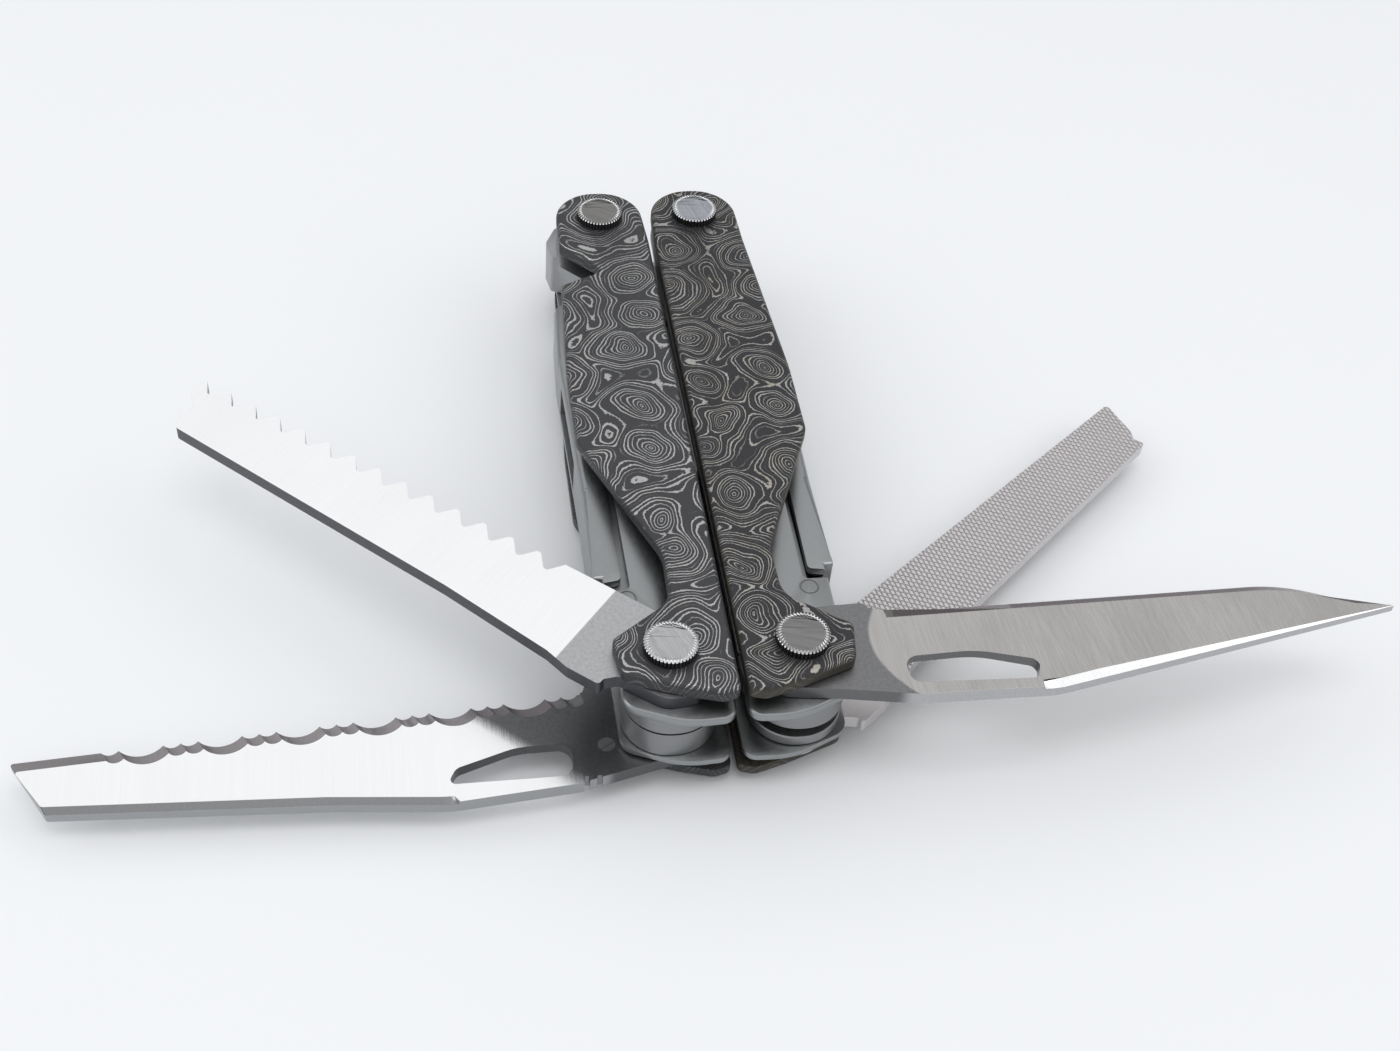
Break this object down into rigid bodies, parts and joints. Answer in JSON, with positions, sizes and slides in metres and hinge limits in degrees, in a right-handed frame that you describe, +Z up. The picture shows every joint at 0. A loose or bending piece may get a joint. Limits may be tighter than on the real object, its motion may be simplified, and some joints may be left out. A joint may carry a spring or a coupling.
{
  "type": "multi tool",
  "caption": "Folding pliers multi tool with patterned steel handle scales, its plier head folded away and knife, serrated blade, saw and file standing part open.",
  "frame": {"origin": "on the resting plane, under the middle of the tool's box: the lower screw heads stand on it", "axes": "+X to the right across both handles, +Y along the handles from the blade pivots to the plier pivots, +Z up through the handles' thickness"},
  "size_m": [0.1758, 0.103, 0.0202],
  "materials": {
    "left_scale": "etched raindrop damascus, charcoal with pale grey rings, satin",
    "right_scale": "etched raindrop damascus, near black with fine pale gold lines, satin",
    "frame_steel": "bright satin stainless steel",
    "screw_steel": "turned stainless steel with a knurled edge",
    "bronze_washer": "phosphor bronze, satin",
    "spacer_steel": "turned stainless steel",
    "knife_steel": "stainless steel, brushed across the blade",
    "serrated_steel": "stainless steel, satin",
    "saw_steel": "stainless steel, brushed",
    "file_steel": "hardened steel, double-cut",
    "plier_steel": "forged stainless steel, bead blasted",
    "tool_steel": "stainless steel, satin"
  },
  "bodies": {
    "left_handle": {"left_frame": "frame_steel", "left_upper_scale": "left_scale", "left_lower_scale": "left_scale", "left_near_pivot_barrel": "screw_steel", "left_near_pivot_screw": "screw_steel", "left_far_pivot_barrel": "screw_steel", "left_far_pivot_screw": "screw_steel", "left_blade_washers": "bronze_washer", "left_tool_washers": "spacer_steel", "left_plier_washers": "spacer_steel", "left_scale_spacers": "spacer_steel"},
    "right_handle": {"right_frame": "frame_steel", "right_upper_scale": "right_scale", "right_lower_scale": "right_scale", "right_near_pivot_barrel": "screw_steel", "right_near_pivot_screw": "screw_steel", "right_far_pivot_barrel": "screw_steel", "right_far_pivot_screw": "screw_steel", "right_blade_washers": "bronze_washer", "right_tool_washers": "spacer_steel", "right_plier_washers": "spacer_steel", "right_scale_spacers": "spacer_steel"},
    "left_jaw": {"left_plier_jaw": "plier_steel", "plier_rivet": "plier_steel"},
    "right_jaw": {"right_plier_jaw": "plier_steel"},
    "knife": {"knife_blade": "knife_steel"},
    "serrated_knife": {"serrated_blade": "serrated_steel", "serrated_stop_stud": "serrated_steel"},
    "saw": {"saw_blade": "saw_steel"},
    "file": {"file_blade": "file_steel"},
    "large_driver": {"large_bit_driver": "tool_steel", "large_bit": "tool_steel"},
    "opener": {"can_opener": "tool_steel"},
    "scissors": {"scissors_fixed_blade": "tool_steel", "scissors_spring": "tool_steel", "scissors_rivet": "plier_steel"},
    "scissors_lever": {"scissors_lever_blade": "tool_steel"},
    "small_driver": {"small_bit_driver": "tool_steel", "small_bit": "tool_steel"},
    "left_upper_lock": {"left_upper_blade_lock": "frame_steel"},
    "left_lower_lock": {"left_lower_blade_lock": "frame_steel"},
    "right_upper_lock": {"right_upper_blade_lock": "frame_steel"},
    "right_lower_lock": {"right_lower_blade_lock": "frame_steel"}
  },
  "joints": [
    {"name": "left_handle_fold", "type": "hinge", "parent": "left_handle", "child": "left_jaw", "pos_m": [-0.00737, 0.0451, 0.0101], "axis": [0, 0, 1], "range_deg": [0, 165]},
    {"name": "plier_jaws_open", "type": "hinge", "parent": "left_jaw", "child": "right_jaw", "pos_m": [0, 0.0325, 0.0101], "axis": [0, 0, 1], "range_deg": [-29.7, 0]},
    {"name": "right_handle_fold", "type": "hinge", "parent": "right_jaw", "child": "right_handle", "pos_m": [0.00737, 0.0451, 0.0101], "axis": [0, 0, 1], "range_deg": [0, 165]},
    {"name": "knife_open", "type": "hinge", "parent": "right_handle", "child": "knife", "pos_m": [0.0082, -0.041, 0.0101], "axis": [0, 0, 1], "range_deg": [-91.7, 88.3]},
    {"name": "file_open", "type": "hinge", "parent": "right_handle", "child": "file", "pos_m": [0.0082, -0.041, 0.0101], "axis": [0, 0, 1], "range_deg": [-129, 51]},
    {"name": "serrated_open", "type": "hinge", "parent": "left_handle", "child": "serrated_knife", "pos_m": [-0.0082, -0.041, 0.0101], "axis": [0, 0, 1], "range_deg": [-90, 90]},
    {"name": "saw_open", "type": "hinge", "parent": "left_handle", "child": "saw", "pos_m": [-0.0082, -0.041, 0.0101], "axis": [0, 0, 1], "range_deg": [-50, 130]},
    {"name": "large_driver_open", "type": "hinge", "parent": "left_handle", "child": "large_driver", "pos_m": [-0.0082, -0.041, 0.0101], "axis": [0, 0, 1], "range_deg": [-107.25, 0]},
    {"name": "can_opener_open", "type": "hinge", "parent": "left_handle", "child": "opener", "pos_m": [-0.0082, -0.041, 0.0101], "axis": [0, 0, 1], "range_deg": [-140.25, 0]},
    {"name": "scissors_open", "type": "hinge", "parent": "right_handle", "child": "scissors", "pos_m": [0.0082, -0.041, 0.0101], "axis": [0, 0, 1], "range_deg": [0, 107.25]},
    {"name": "scissors_lever_spring_out", "type": "hinge", "parent": "scissors", "child": "scissors_lever", "pos_m": [0.0086, -0.019, 0.0101], "axis": [0, 0, 1], "range_deg": [0, 24.75]},
    {"name": "small_driver_open", "type": "hinge", "parent": "right_handle", "child": "small_driver", "pos_m": [0.0082, -0.041, 0.0101], "axis": [0, 0, 1], "range_deg": [0, 140.25]},
    {"name": "left_upper_lock_flex", "type": "hinge", "parent": "left_handle", "child": "left_upper_lock", "pos_m": [-0.0035, -0.00352, 0.0142], "axis": [-1, 0, 0], "range_deg": [0, 2.5], "stiffness_Nm_per_rad": 2},
    {"name": "left_lower_lock_flex", "type": "hinge", "parent": "left_handle", "child": "left_lower_lock", "pos_m": [-0.0035, -0.00352, 0.006], "axis": [1, 0, 0], "range_deg": [0, 2.5], "stiffness_Nm_per_rad": 2},
    {"name": "right_upper_lock_flex", "type": "hinge", "parent": "right_handle", "child": "right_upper_lock", "pos_m": [0.0035, -0.00352, 0.0142], "axis": [1, 0, 0], "range_deg": [-2.5, 0], "stiffness_Nm_per_rad": 2},
    {"name": "right_lower_lock_flex", "type": "hinge", "parent": "right_handle", "child": "right_lower_lock", "pos_m": [0.0035, -0.00352, 0.006], "axis": [-1, 0, 0], "range_deg": [-2.5, 0], "stiffness_Nm_per_rad": 2}
  ],
  "couplings": [
    {"joint": "plier_jaws_open", "follows": "left_handle_fold", "ratio": -0.18},
    {"joint": "right_handle_fold", "follows": "left_handle_fold", "ratio": 1},
    {"joint": "large_driver_open", "follows": "left_handle_fold", "ratio": -0.65},
    {"joint": "can_opener_open", "follows": "left_handle_fold", "ratio": -0.85},
    {"joint": "scissors_open", "follows": "left_handle_fold", "ratio": 0.65},
    {"joint": "scissors_lever_spring_out", "follows": "left_handle_fold", "ratio": 0.15},
    {"joint": "small_driver_open", "follows": "left_handle_fold", "ratio": 0.85}
  ]
}
